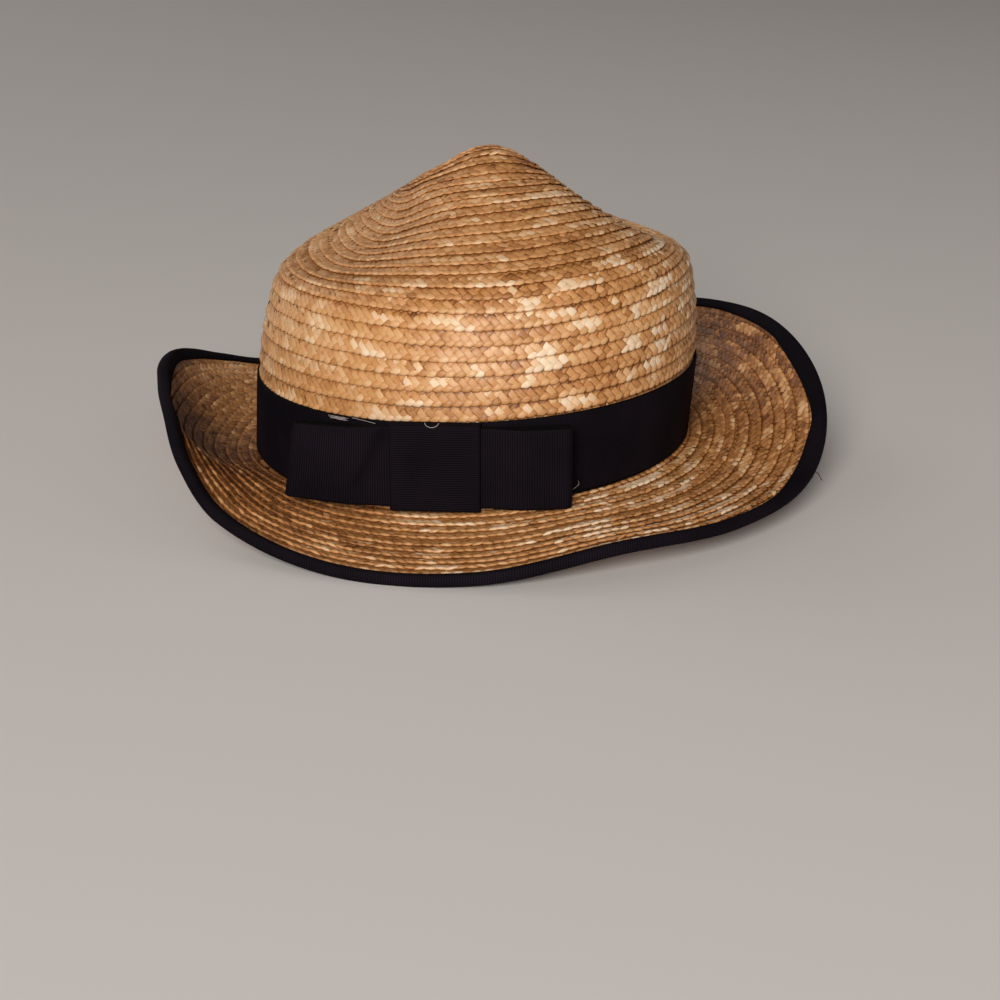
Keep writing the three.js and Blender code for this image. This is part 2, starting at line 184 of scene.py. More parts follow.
# Tone of the brim by azimuth: level; then painted light and shade: a wave twice round, and darker on the
# wearer's right, in the rolled-up trough, and on the wearer's left
BRIM_TONE, BRIM_LIGHT_WAVE = 0.3, 0.13
BRIM_RIGHT_PAINTED_SHADE, BRIM_RIGHT_POWER = 0.15, 10
BRIM_LEFT_PAINTED_SHADE, BRIM_LEFT_POWER = 0.04, 4
# Tone drifts along the braid and rows wander: by how much, over how many stitches
DRIFT, DRIFT_LENGTH = 0.03, 30.0
WANDER, WANDER_LENGTH = 0.05, 25.0
# More pale strands and more contrast about the front, a painted highlight where the lamp's reflection
# falls: middle and spread of that front
FRONT, FRONT_SPREAD = 8.0, 50.0
# Strength of the painted shade and of the pale strands, and how much more at the front
CONTRAST, CONTRAST_FRONT = 0.44, 0.66
# How bright a strand is: shares of its patch, its neighbours and itself, and lengths in stitches
PATCH_SHARE, NEAR_SHARE, OWN_SHARE = 0.6, 0.6, 0.3
PATCH_LENGTH, NEAR_LENGTH = 1.2, 1.0
# How pale it is then, partly bleached straw and partly painted glint: at most, from which brightness on,
# how much lower that is at the front, for a painted highlight there, and how softly it begins
BLEACH_AND_GLINT, PALE_FROM, FRONT_PAINTED_HIGHLIGHT, PALE_SOFT = 0.53, 1.15, 0.5, 0.2
# How uneven the strands are in tone, size, place along and across, height and tilt
TONE_SPREAD, SIZE_SPREAD = 0.07, 0.05
ALONG_SPREAD, ACROSS_SPREAD = 0.16, 0.012
RISE_SPREAD, TILT_SPREAD = 0.05, 0.08
DARKEST, PALEST = 0.02, 1.0
# Strands are kept up to these parts of a row past the first row and the last
PAST_FIRST, PAST_LAST = 0.35, 0.2
# Longest stitch at the tip, in degrees, how far before the tip the last one starts, in rows,
# and the spread of the grain's seeds
LONGEST_STITCH = 72.0
LAST_STITCH = 0.4
SEED_SPREAD = 60
# Backing under the braid: depths, tone (dark, painted shade where it shows between strands), grain,
# degrees between columns, rings, margins at its ends in rows and in millimetres
SHELL_DEPTH = (0.95, 1.25)
SHELL_PAINTED_SHADE_TONE, SHELL_GRAIN = 0.28, 0.5
SHELL_TURN = 3.75
CROWN_RINGS, BRIM_RINGS = 48, 10
ROW_MARGIN, EDGE_MARGIN = 0.02, 0.2
# Ribbon ribs
RIB_PITCH = 0.88
RIB_STEPS = 3
RIB_HEIGHT = 0.14
# Value of the ribs' tops, lighter than the grooves: painted light on the ribs; and of pale threads caught
# on the ribbon, their own colour
RIB_TOP_PAINTED_LIGHT, PALE = 0.9, 1.0
# A bow ribbon's edge: way in from it, depth under the outer face, share of the rib
SELVEDGE = ((0.0, 0.45, 0.2), (0.3, RIB_HEIGHT, 0.8), (1.2, RIB_HEIGHT, 1.0))
# The band's edge: way in from it, height over the gap, share of the rib; ways up to rows between
BAND_EDGE = ((0.0, 0.6, 0.3), (0.35, 0.82, 0.8), (1.2, 0.84, 1.0))
BAND_INNER = (11, 21)
# Mean radius of the band, for the number of its ribs
BAND_RADIUS = 90.2
# Bow: length over which a loop bends, where its bulge is full, samples, corner of the knot
LOOP_BEND_REACH, LOOP_BULGE_END = 2.5, 0.75
LOOP_SAMPLES, FOLD_SAMPLES, CORNER_SAMPLES = 120, 24, 8
LOOP_INNER_ROWS, LOOP_INNER_MARGIN = 17, 3
KNOT_CORNER = 1.3

# Stage: half width and colour of the floor, world light, lamps, camera
FLOOR_HALF, FLOOR_COLOUR = 6.0, (0.70, 0.66, 0.635, 1.0)
WORLD_COLOUR, WORLD_STRENGTH = (1.0, 0.97, 0.94, 1.0), 0.14
# Lamps: name, place, size, power, colour, all aimed at the hat
LAMPS = (
    ("key", (-1.4, -2.4, 1.25), 1.3, 90.0, (1.0, 0.97, 0.93)),
    ("fill", (-1.3, 2.7, 1.9), 2.4, 15.0, (1.0, 0.97, 0.94)),
)
LAMP_AIM = (0, 0, 0.06)
# Camera: sensor, focal length in picture widths, place and aim from the middle of the crown's foot
SENSOR, FOCAL = 36.0, 2.028
CAMERA_PLACE, CAMERA_AIM = (-268.26, -734.37, 241.40), (8.04, -12.44, -26.94)

corner_low, corner_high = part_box("crown")
SHIFT = np.array((
    corner_low.x / MM + CROWN_HALF[0],
    corner_high.y / MM - CROWN_HALF[1],
    0.0,
))


def curve(rows, column, at, period=0.0):
    """Smooth curve through the rows of a table, by the slope between each row's neighbours."""
    table = np.array(rows, float)
    xs, ys = table[:, 0], table[:, column]
    at = np.asarray(at, float)
    if period:
        at = xs[0] + np.mod(at - xs[0], period)
        xs = np.concatenate([xs[-1:] - period, xs, xs[:2] + period])
        ys = np.concatenate([ys[-1:], ys, ys[:2]])
    else:
        xs = np.concatenate([xs[:1], xs, xs[-1:]])
        ys = np.concatenate([ys[:1], ys, ys[-1:]])
    i = np.clip(np.searchsorted(xs, at, side="right") - 1, 1, len(xs) - 3)
    span = xs[i + 1] - xs[i]
    t = (at - xs[i]) / span
    start = (ys[i + 1] - ys[i - 1]) / (xs[i + 1] - xs[i - 1]) * span
    end = (ys[i + 2] - ys[i]) / (xs[i + 2] - xs[i]) * span
    rise = ys[i + 1] - ys[i]
    cubic = start + end - 2 * rise
    return ys[i] + t * (start + t * (rise - start - cubic + t * cubic))


def smooth_step(x, low, high):
    t = np.clip((x - low) / (high - low), 0, 1)
    return t * t * (3 - 2 * t)


def points(x, y, z):
    return np.stack(np.broadcast_arrays(x, y, z), axis=-1)


def foot(azimuth):
    a = np.radians(azimuth)
    x = CROWN_HALF[0] * np.sin(a)
    y = -CROWN_HALF[1] * np.cos(a)
    return x, y, FOOT_HEIGHT + FOOT_SLOPE[0] * x + FOOT_SLOPE[1] * y


def foot_normal(azimuth):
    a = np.radians(azimuth)
    x = np.sin(a) / CROWN_HALF[0]
    y = -np.cos(a) / CROWN_HALF[1]
    size = np.hypot(x, y)
    return x / size, y / size


def crown(azimuth, along):
    """Points on the outside of the crown."""
    radius = curve(CROWN_PROFILE, 1, along)
    height = curve(CROWN_PROFILE, 2, along)
    fx, fy, fz = foot(azimuth)
    x = radius * fx + height * PEAK_OFFSET[0]
    y = radius * fy + height * PEAK_OFFSET[1]
    z = FOOT_HEIGHT + radius * (fz - FOOT_HEIGHT) + height * CROWN_HEIGHT
    a = np.radians(azimuth)
    for middle, share, spread, reach, deep in PINCHES:
        aside = (np.mod(azimuth - middle + 180, 360) - 180) / spread
        above = (along - share) / reach
        depth = deep * np.exp(-aside * aside - above * above)
        x = x - PINCH_INWARD * depth * np.sin(a)
        y = y + PINCH_INWARD * depth * np.cos(a)
        z = z - PINCH_DOWN * depth
    return points(x, y, z)


def brim(azimuth, out, below):
    """Points of the brim's section: out along its upper face, below under that face."""
    fx, fy, fz = foot(azimuth)
    nx, ny = foot_normal(azimuth)
    edge = curve(BRIM_STATIONS, 1, azimuth, 360.0)
    curl = np.radians(curve(BRIM_STATIONS, 2, azimuth, 360.0))
    spread = np.sin(curl / 2) / (curl / 2)
    start = fz - GAP
    root = np.arcsin((edge - start) / (BRIM_WIDTH * spread)) - curl / 2
    reach = np.maximum(out, 0.0)
    slope = root + curl * reach / BRIM_WIDTH
    middle = (root + slope) / 2
    chord = reach * np.sinc((slope - middle) / np.pi)
    across = chord * np.cos(middle) + below * np.sin(slope)
    lift = chord * np.sin(middle) - below * np.cos(slope)
    across = np.where(np.asarray(out) < 0, out, across)
    lift = np.where(np.asarray(out) < 0, -below, lift)
    return points(fx + nx * across, fy + ny * across, start + lift)


def unit(v):
    return v / np.linalg.norm(v, axis=-1, keepdims=True)


def raised(surface, phi, rho, height):
    """Points of a surface moved along its normal."""
    turn, step = 0.5, 0.04
    around = surface(phi + turn, rho) - surface(phi - turn, rho)
    across = surface(phi, rho + step) - surface(phi, rho - step)
    normal = unit(np.cross(around, across))
    return surface(phi, rho) + normal * np.asarray(height)[..., None]


def on_roof(azimuth, way):
    a = math.radians(azimuth)
    return way * math.sin(a), -way * math.cos(a)


def toward_tip(phi, share):
    """Azimuth and along after a share of the way from the foot to the tip."""
    a = np.radians(phi)
    (tip_x, tip_y), (line_x, line_y) = on_roof(*TIP), on_roof(*TIP_LINE)
    beside = np.cos(a - math.radians(TIP_LINE[0]))
    x = (1 - share) * np.sin(a) + share * (tip_x + line_x * beside)
    y = -(1 - share) * np.cos(a) + share * (tip_y + line_y * beside)
    return np.degrees(np.arctan2(x, -y)), 1 - np.hypot(x, y)


def crown_meridians():
    """Share of the way to the tip, by azimuth and row, with the rows measured over the straw."""
    azimuths = np.linspace(-180, 180, MERIDIAN_COUNT)
    shares = np.linspace(0, 1, WAY_COUNT)
    grid = crown(*toward_tip(azimuths[:, None], shares[None, :]))
    steps = np.linalg.norm(np.diff(grid, axis=1), axis=-1)
    ways = np.concatenate([np.zeros((len(azimuths), 1)), np.cumsum(steps, axis=1)], axis=1)
    rows = np.linspace(0, CROWN_ROWS, ROW_COUNT)
    late = np.clip((rows - EVEN_ROWS) / (CROWN_ROWS - EVEN_ROWS), 0, 1) ** LATE_POWER
    aside = smooth_step(-azimuths, -LEAN_LEFT[0], -LEAN_LEFT[1]) + smooth_step(azimuths, *LEAN_RIGHT)
    wider = LEAN * np.clip(rows - LEAN_FROM, 0, LEAN_ROWS)
    even = CROWN_PITCH * (rows + aside[:, None] * wider)
    return np.array([
        np.interp(line + (way[-1] - line[-1]) * late, way, shares) for line, way in zip(even, ways)
    ])


MERIDIANS = crown_meridians()


def crown_rows(phi, rho):
    """The crown's outside by azimuth and row, counted from the foot."""
    table = MERIDIANS
    u = np.mod(np.asarray(phi, float) + 180, 360) / 360 * (table.shape[0] - 1)
    v = np.clip(np.asarray(rho, float) / CROWN_ROWS, 0, 1) * (table.shape[1] - 1)
    i = np.minimum(u.astype(int), table.shape[0] - 2)
    j = np.minimum(v.astype(int), table.shape[1] - 2)
    u, v = u - i, v - j
    low = table[i, j] * (1 - u) + table[i + 1, j] * u
    high = table[i, j + 1] * (1 - u) + table[i + 1, j + 1] * u
    return crown(*toward_tip(phi, low * (1 - v) + high * v))


def brim_rows(phi, rho):
    """The brim's upper face by azimuth and row, counted from the edge inward."""
    out = np.clip(1 - np.asarray(rho, float) / BRIM_ROWS, 0, 1) * BRIM_WIDTH
    return brim(phi, out, 0.0)


def grid_faces(columns, rows, wrap_columns=False, wrap_rows=False):
    """Four-sided faces over a grid of points, closed round either way if asked."""
    i = np.arange(columns if wrap_columns else columns - 1)[:, None]
    j = np.arange(rows if wrap_rows else rows - 1)[None, :]
    i2, j2 = (i + 1) % columns, (j + 1) % rows
    quads = [i * rows + j, i2 * rows + j, i2 * rows + j2, i * rows + j2]
    return np.stack(np.broadcast_arrays(*quads), axis=-1).reshape(-1, 4)


class Parts:
    """Vertices, faces and point values of one piece, gathered bit by bit."""

    def __init__(self, *names):
        self.names = names
        self.verts, self.faces = [], []
        self.values = {name: [] for name in names}
        self.count = 0

    def add(self, verts, faces, **values):
        """Adds one patch, or many alike where verts has a leading axis."""
        verts = np.asarray(verts, float).reshape(-1, 3)
        self.faces.append(np.asarray(faces).reshape(-1, 4) + self.count)
        self.verts.append(verts)
        for name in self.names:
            value = np.asarray(values[name], float)
            self.values[name].append(np.broadcast_to(value, (len(verts), *value.shape[1:])))
        self.count += len(verts)

    def piece(self, name, material):
        verts = np.concatenate(self.verts)
        faces = np.concatenate(self.faces)
        mesh = bpy.data.meshes.new(name)
        mesh.vertices.add(len(verts))
        mesh.vertices.foreach_set("co", ((verts + SHIFT) * MM).astype(np.float32).ravel())
        mesh.loops.add(4 * len(faces))
        mesh.loops.foreach_set("vertex_index", faces.astype(np.int32).ravel())
        mesh.polygons.add(len(faces))
        mesh.polygons.foreach_set("loop_start", np.arange(0, 4 * len(faces), 4, dtype=np.int32))
        mesh.polygons.foreach_set("use_smooth", np.ones(len(faces), bool))
        for key in self.names:
            data = np.concatenate(self.values[key])
            vector = data.ndim == 2
            layer = mesh.attributes.new(key, "FLOAT_VECTOR" if vector else "FLOAT", "POINT")
            layer.data.foreach_set("vector" if vector else "value", data.astype(np.float32).ravel())
        mesh.update(calc_edges=True)
        mesh.validate()
        mesh.materials.append(material)
        made = bpy.data.objects.new(name, mesh)
        bpy.context.scene.collection.objects.link(made)
        return made


def smoothed(values, sigma):
    """Values blurred along their list, brought back to a spread of 1."""
    reach = int(3 * sigma) + 1
    weights = np.exp(-0.5 * (np.arange(-reach, reach + 1) / sigma) ** 2)
    soft = np.convolve(values, weights / weights.sum(), mode="same")
    return soft / soft.std()


def lip_cell(fine):
    """A strand where it turns at the edge of a row: along, across, height, grain and painted shade, as
    grids.
    """
    # across, height, painted shade: darker under the lip and at its tucked end, lighter on its crest
    section = np.array((
        (0.45, -0.72, -0.32), (-0.18, -0.34, -0.18), (-0.06, 0.2, 0.0),
        (0.65, 0.54, 0.05), (1.9, 0.5, 0.03), (2.75, 0.02, -0.12),
    ))
    if not fine:
        section = np.delete(section, 1, axis=0)
    middle = np.array((1.0, 0.0))
    u = np.array((-1.0, -0.76, 0.0, 0.76, 1.0) if fine else (-1.0, -0.4, 0.4, 1.0))[:, None]
    taper = 1 - LIP_TAPER * np.abs(u) ** LIP_TAPER_POWER
    across = middle[0] + (section[None, :, 0] - middle[0]) * taper + LIP_SLANT * u
    height = middle[1] + (section[None, :, 1] - middle[1]) * taper - LIP_FALL * u - LIP_ARCH * u * u
    along = LIP_HALF * BRAID_PITCH * u + 0 * across
    fibre = np.concatenate([[0], np.cumsum(np.hypot(*np.diff(section[:, :2], axis=0).T))])
    # Painted shade, darker again toward both ends of the strand
    shade = section[None, :, 2] - LIP_END_PAINTED_SHADE * np.abs(u) ** EDGE_POWER
    return along, across / ROW_WIDTH, height, along, fibre[None, :] + 0 * along, shade


def crisp(count):
    """Steps from -1 to 1 that lie close together at both ends."""
    steps = np.linspace(-1, 1, count)
    return np.sign(steps) * np.abs(steps) ** CRISP_POWER


def float_cell(lean, middle, reach, count_u, count_v):
    """A strand where it passes over another: along, across, height, grain and painted shade, as grids."""
    u = reach * crisp(count_u)[:, None]
    v = FLOAT_WIDTH * crisp(count_v)[None, :]
    quarter, half = BRAID_PITCH / 4, 1.0 / 6
    along = quarter * (u - lean * v)
    across = half * (lean * u + v)
    height = FLOAT_ARCH * (1 - (u / reach / FLOAT_ARCH_REACH) ** 2) - FLOAT_CAMBER * v * v
    side = 0.5 * np.hypot(BRAID_PITCH / 2, ROW_WIDTH / 3)
    ends, sides = np.abs(u / reach) ** EDGE_POWER, np.abs(v) ** EDGE_POWER
    # Painted light on the face, painted shade toward the strand's ends and sides and where it is tucked
    # under the next row
    shade = FLOAT_PAINTED_LIGHT - FLOAT_END_PAINTED_SHADE * ends - FLOAT_SIDE_PAINTED_SHADE * sides
    shade = shade - TUCK_PAINTED_SHADE * smooth_step(across + middle, TUCK_FROM, TUCK_TO)
    return along, across + middle, height + 0 * v, u * side + 0 * v, v * side + 0 * u, shade


def braid(shares, surface, rows, phase, side, offset, tone_at, fine, calm_from):
    """Sewn braid over a surface in one spiral: each row's lip lies over the row before it.

    Shares are the pieces it is laid into, each with its first row and the row after its last.
    The tone is a function of the azimuth, with painted light and shade; from the row calm_from on the
    braid lies flatter, with weaker painted shade and less pale strands.
    """
    start, speeds = [], []
    phi = -phase - 360.0
    while (phi + phase) / 360 < rows - LAST_STITCH:
        row = np.clip((phi + phase) / 360 + 0.5 * side, ROW_MARGIN, rows - ROW_MARGIN)
        speed = float(np.linalg.norm(surface(phi + 0.5, row) - surface(phi - 0.5, row)))
        start.append(phi)
        speeds.append(speed)
        phi += min(BRAID_PITCH / max(speed, 1e-6), LONGEST_STITCH)
    start, speeds = np.array(start), np.array(speeds)
    count = len(start)
    at_row = (start + phase) / 360
    patch = smoothed(rng.normal(size=count), PATCH_LENGTH)
    drift = smoothed(rng.normal(size=count), DRIFT_LENGTH)
    wander = WANDER * smoothed(rng.normal(size=count), WANDER_LENGTH)
    calm = smooth_step(at_row, calm_from - CALM_ROWS, calm_from + CALM_ROWS)
    relief = 1 - CALM_RELIEF * calm
    # Painted shade toward the tip
    late = smooth_step(at_row, LATE_FROM * calm_from, LATE_TO * calm_from)
    facing = np.exp(-(np.mod(start - FRONT + 180, 360) - 180) ** 2 / FRONT_SPREAD ** 2)
    # Strength of the painted shade and of the pale strands: weaker on the roof, strongest at the front
    shade_and_pale_strength = (1 - ROOF_SHADE_AND_PALE_CUT * calm) * (CONTRAST + CONTRAST_FRONT * facing)
    cells = [(lip_cell(fine), 0.0)]
    for lean, middle, reach, place, fine_steps, plain_steps in FLOATS:
        steps = fine_steps if fine else plain_steps
        cells.append((float_cell(lean, middle, reach, *steps), place))
    for shape, place in cells:
        along, across, height, grain_u, grain_v, shade = shape
        near = smoothed(rng.normal(size=count), NEAR_LENGTH)
        bright = PATCH_SHARE * patch + NEAR_SHARE * near + OWN_SHARE * rng.normal(size=count)
        tone = tone_at(np.radians(start)) + DRIFT * drift + TONE_SPREAD * rng.normal(size=count)
        # Pale strands: partly bleached straw, partly painted glint, most about the front as a painted
        # highlight
        bleach_and_glint_lift = BLEACH_AND_GLINT * shade_and_pale_strength / (1 + np.exp(-(bright - PALE_FROM + FRONT_PAINTED_HIGHLIGHT * facing) / PALE_SOFT))
        tone = np.clip(tone - TIP_PAINTED_SHADE * late + bleach_and_glint_lift, DARKEST, PALEST)
        size = 1 + SIZE_SPREAD * rng.normal(size=count)
        shift_along = place * BRAID_PITCH + ALONG_SPREAD * rng.normal(size=count)
        shift_across = wander + ACROSS_SPREAD * rng.normal(size=count)
        rise = RISE_SPREAD * rng.normal(size=count)
        tilt = TILT_SPREAD * rng.normal(size=count)
        wide = (slice(None), None, None)
        turn = start[wide] + (along * size[wide] + shift_along[wide]) / speeds[wide]
        row = across + shift_across[wide]
        rho = (turn + phase) / 360 + side * row
        keep = (rho.min(axis=(1, 2)) > -PAST_FIRST) & (rho.max(axis=(1, 2)) < rows + PAST_LAST)
        base = LIP_HEIGHT + (TUCK_HEIGHT - LIP_HEIGHT) * across
        lifted = relief[wide] * (base + height) + rise[wide] + tilt[wide] * along
        seed = rng.uniform(0, SEED_SPREAD, count)
        for parts, low, high in shares:
            mine = keep & (at_row >= low) & (at_row < high)
            bounded = np.clip(rho[mine], 0.0, rows)
            verts = raised(surface, turn[mine], bounded, offset + side * lifted[mine])
            firsts = np.arange(int(mine.sum())) * along.size
            faces = grid_faces(*along.shape)[None] + firsts[:, None, None]
            grain = [np.broadcast_to(g, verts.shape[:3]) for g in (grain_u, grain_v, seed[mine][wide])]
            # Each strand's tone takes its painted shade and light
            parts.add(
                verts, faces, fibre=np.stack(grain, axis=-1).reshape(-1, 3),
                tone=(tone[mine][wide] + shade_and_pale_strength[mine][wide] * shade).ravel(),
            )


def closed_shell(parts, rings):
    """A closed thin backing under the braid, over rings that each join the next, in a dark tone: painted
    shade in the gaps between strands.
    """
    grid = np.stack(rings)
    verts = grid.reshape(-1, 3)
    faces = grid_faces(grid.shape[0], grid.shape[1], True, True)
    parts.add(verts, faces, tone=np.full(len(verts), SHELL_PAINTED_SHADE_TONE), fibre=verts * SHELL_GRAIN)


def node(tree, kind, **settings):
    """A shader node with its sockets or, failing that, its properties set."""
    made = tree.nodes.new(kind)
    for key, value in settings.items():
        if key in made.inputs:
            made.inputs[key].default_value = value
        else:
            setattr(made, key, value)
    return made


def ramp(tree, stops):
    made = tree.nodes.new("ShaderNodeValToRGB")
    elements = made.color_ramp.elements
    while len(elements) < len(stops):
        elements.new(0.5)
    for element, (at, colour) in zip(elements, stops):
        element.position = at
        element.color = (*colour, 1.0)
    return made


def new_material(name, **settings):
    material = bpy.data.materials.new(name)
    material.use_nodes = True
    tree = material.node_tree
    shader = tree.nodes["Principled BSDF"]
    for key, value in settings.items():
        shader.inputs[key.replace("_", " ")].default_value = value
    return material, tree, shader


def straw_material():
    material, tree, shader = new_material("straw", IOR=1.48)
    link = tree.links.new
    tone = node(tree, "ShaderNodeAttribute", attribute_name="tone")
    fibre = node(tree, "ShaderNodeAttribute", attribute_name="fibre")
    along = node(tree, "ShaderNodeMapping")
    along.inputs["Scale"].default_value = (0.22, 3.2, 1.0)
    link(fibre.outputs["Vector"], along.inputs["Vector"])
    streak = node(tree, "ShaderNodeTexNoise", Scale=1.6, Detail=3.0, Roughness=0.6)
    link(along.outputs["Vector"], streak.inputs["Vector"])
    blotch = node(tree, "ShaderNodeTexNoise", Scale=0.55, Detail=2.0)
    link(fibre.outputs["Vector"], blotch.inputs["Vector"])
    shade = node(tree, "ShaderNodeMapRange")
    shade.inputs["From Min"].default_value = 0.3
    shade.inputs["From Max"].default_value = 0.7
    shade.inputs["To Min"].default_value = -0.1
    shade.inputs["To Max"].default_value = 0.1
    link(streak.outputs["Fac"], shade.inputs["Value"])
    mixed = node(tree, "ShaderNodeMath", operation="ADD")
    link(tone.outputs["Fac"], mixed.inputs[0])
    link(shade.outputs["Result"], mixed.inputs[1])
    colours = ramp(tree, (
        (0.0, (0.12, 0.036, 0.007)),
        (0.2, (0.33, 0.128, 0.033)),
        (0.42, (0.56, 0.268, 0.097)),
        (0.62, (0.68, 0.405, 0.20)),
        (0.95, (0.82, 0.64, 0.46)),
    ))
    link(mixed.outputs[0], colours.inputs["Fac"])
    tint = node(tree, "ShaderNodeMixRGB", blend_type="MULTIPLY")
    tint.inputs[0].default_value = 0.5
    hues = ramp(tree, ((0.3, (1.0, 0.84, 0.74)), (0.5, (1.0, 0.98, 0.98)), (0.7, (0.93, 1.0, 0.82))))
    link(blotch.outputs["Fac"], hues.inputs["Fac"])
    link(colours.outputs["Color"], tint.inputs[1])
    link(hues.outputs["Color"], tint.inputs[2])
    link(tint.outputs[0], shader.inputs["Base Color"])
    rough = node(tree, "ShaderNodeMapRange")
    rough.inputs["To Min"].default_value = 0.32
    rough.inputs["To Max"].default_value = 0.55
    link(streak.outputs["Fac"], rough.inputs["Value"])
    link(rough.outputs["Result"], shader.inputs["Roughness"])
    bump = node(tree, "ShaderNodeBump", Strength=0.35, Distance=0.0002)
    link(streak.outputs["Fac"], bump.inputs["Height"])
    link(bump.outputs["Normal"], shader.inputs["Normal"])
    return material


def ribbon_material():
    material, tree, shader = new_material("ribbon", Roughness=0.75, Specular_IOR_Level=0.06)
    link = tree.links.new
    rib = node(tree, "ShaderNodeAttribute", attribute_name="rib")
    place = node(tree, "ShaderNodeTexCoord")
    fuzz = node(tree, "ShaderNodeTexNoise", Scale=900.0, Detail=3.0)
    link(place.outputs["Object"], fuzz.inputs["Vector"])
    wear = node(tree, "ShaderNodeTexNoise", Scale=45.0, Detail=3.0)
    link(place.outputs["Object"], wear.inputs["Vector"])
    # Colour by the rib value: black in the grooves and lighter toward the ribs' tops, painted light on
    # the ribs; pale threads at the top of the scale
    tops = ramp(tree, (
        (0.0, (0.0011, 0.0008, 0.0012)),
        (0.5, (0.0040, 0.0027, 0.0046)),
        (RIB_TOP_PAINTED_LIGHT, (0.0082, 0.0056, 0.0094)),
        (PALE, (0.42, 0.38, 0.36)),
    ))
    link(rib.outputs["Fac"], tops.inputs["Fac"])
    faded = ramp(tree, ((0.35, (0.75, 0.75, 0.75)), (0.7, (1.35, 1.3, 1.3))))
    link(wear.outputs["Fac"], faded.inputs["Fac"])
    mixed = node(tree, "ShaderNodeMixRGB", blend_type="MULTIPLY")
    mixed.inputs[0].default_value = 1.0
    link(tops.outputs["Color"], mixed.inputs[1])
    link(faded.outputs["Color"], mixed.inputs[2])
    link(mixed.outputs[0], shader.inputs["Base Color"])
    bump = node(tree, "ShaderNodeBump", Strength=0.3, Distance=0.0001)
    link(fuzz.outputs["Fac"], bump.inputs["Height"])
    link(bump.outputs["Normal"], shader.inputs["Normal"])
    return material


def crown_tone(turn):
    """Tone of the crown's straw at an azimuth in radians, with painted light and shade: darker at the
    front and back, lighter at the sides and on the wearer's left.
    """
    wave = CROWN_LIGHT_WAVE * np.cos(2 * turn + CROWN_WAVE_PHASE)
    sides = CROWN_SIDES_PAINTED_LIGHT * np.abs(np.sin(turn))
    return CROWN_TONE - wave + sides + CROWN_LEFT_PAINTED_LIGHT * np.maximum(np.sin(turn), 0)


def brim_tone(turn):
    """Tone of the brim's straw at an azimuth in radians, with painted light and shade: lighter at the
    front and back, darker at the sides, most in the trough on the wearer's right.
    """
    wave = BRIM_LIGHT_WAVE * np.cos(2 * turn)
    # Painted shade in the rolled-up trough on the wearer's right and on the wearer's left
    right = BRIM_RIGHT_PAINTED_SHADE * np.maximum(-np.sin(turn), 0) ** BRIM_RIGHT_POWER
    left = BRIM_LEFT_PAINTED_SHADE * np.maximum(np.sin(turn), 0) ** BRIM_LEFT_POWER
    return BRIM_TONE + wave - right - left


def straw_pieces(material):
    turns = np.arange(0, 360, SHELL_TURN)
    wall, roof, inside = Parts("tone", "fibre"), Parts("tone", "fibre"), Parts("tone", "fibre")
    levels = np.linspace(0, CROWN_ROWS - ROW_MARGIN, CROWN_RINGS)
    outer, inner = ([
        raised(crown_rows, turns, np.full_like(turns, row), np.full_like(turns, -depth))
        for row in levels
    ] for depth in SHELL_DEPTH)
    closed_shell(wall, outer + inner[::-1])
    shares = ((wall, BARE_ROW, ROOF_ROW), (roof, ROOF_ROW, CROWN_ROWS))
    braid(shares, crown_rows, CROWN_ROWS, CROWN_PHASE, 1, 0.0, crown_tone, True, ROOF_ROW)
    hollow = ((inside, -1, CROWN_ROWS),)
    braid(hollow, crown_rows, CROWN_ROWS, CROWN_PHASE, -1, -STRAW, crown_tone, False, ROOF_ROW)
    upper, under = Parts("tone", "fibre"), Parts("tone", "fibre")
    outs = np.concatenate([[-STRAW], np.linspace(0, BRIM_WIDTH - EDGE_MARGIN, BRIM_RINGS)])
    faces = [[brim(turns, np.full_like(turns, out), depth) for out in outs] for depth in SHELL_DEPTH]
    closed_shell(upper, faces[1] + faces[0][::-1])
    for parts, side, offset, fine in ((upper, 1, 0.0, True), (under, -1, -STRAW, False)):
        shares = ((parts, -1, BRIM_ROWS),)
        braid(shares, brim_rows, BRIM_ROWS, 0.0, side, offset, brim_tone, fine, NEVER_CALM)
    pieces = (
        (wall, "crown_braid_wall", "crown"), (roof, "crown_braid_roof", "crown"),
        (inside, "crown_inside", "crown"),
        (upper, "brim_braid", "brim"), (under, "brim_underside", "brim"),
    )
    made = []
    for parts, name, node_name in pieces:
        made.append(parts.piece(name, material))
        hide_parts(node_name)
    return made


def rib_wave(count):
    """Height of the ribs, 0 in the grooves to 1 on the tops, for each step along a ribbon."""
    t = (np.arange(count) % RIB_STEPS) / RIB_STEPS
    return np.sqrt(1 - (2 * t - 1) ** 2)


def along_at_height(height):
    """Way along the crown's profile at a height above its foot, in the profile's lower half."""
    shares = np.linspace(0, 0.5, PROFILE_COUNT)
    return np.interp(height, curve(CROWN_PROFILE, 2, shares) * CROWN_HEIGHT, shares)


def crown_offset(azimuth, along, distance):
    """Points at a distance outside the crown."""
    step = 0.01
    up = crown(azimuth, along + step) - crown(azimuth, np.maximum(along - step, 0.0))
    round_ = crown(azimuth + 1, along) - crown(azimuth - 1, along)
    return crown(azimuth, along) + unit(np.cross(round_, up)) * np.asarray(distance)[..., None]


